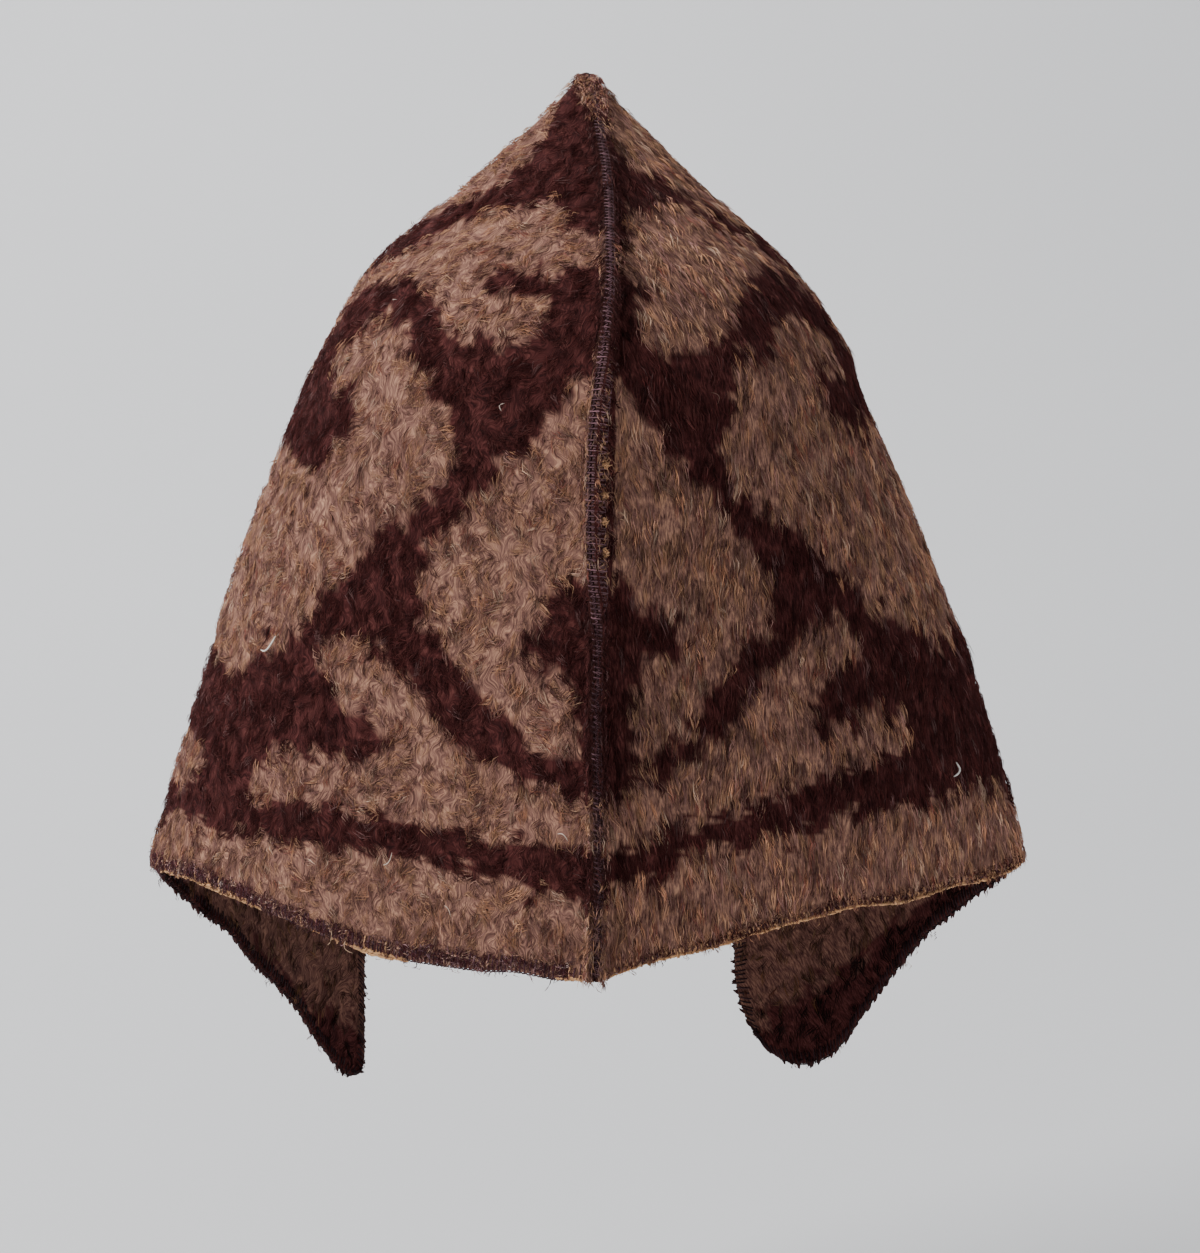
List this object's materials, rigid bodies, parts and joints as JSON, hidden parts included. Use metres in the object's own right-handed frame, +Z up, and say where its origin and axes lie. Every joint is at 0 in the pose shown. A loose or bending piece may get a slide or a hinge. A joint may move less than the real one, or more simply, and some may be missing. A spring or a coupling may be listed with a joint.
{
  "type": "sauna hat",
  "caption": "Pointed woollen sauna hat sewn from two patterned blanket panels with a raised overlocked seam, a back that dips to a blunt point and rounded ear flaps.",
  "frame": {"origin": "where the top of the wearer's head comes inside the hat, on the hat's axis, 40 mm under the outer tip", "axes": "+Z up through the tip, +Y towards the wearer's face (the open arch between the flaps), +X towards the wearer's right; the back seam is on -Y"},
  "size_m": [0.2897, 0.2452, 0.3581],
  "materials": {
    "left_wool": "brushed two-colour wool, long nap",
    "right_wool": "brushed two-colour wool, long nap"
  },
  "bodies": {
    "root": {"left_panel": "left_wool", "right_panel": "right_wool"}
  },
  "joints": []
}
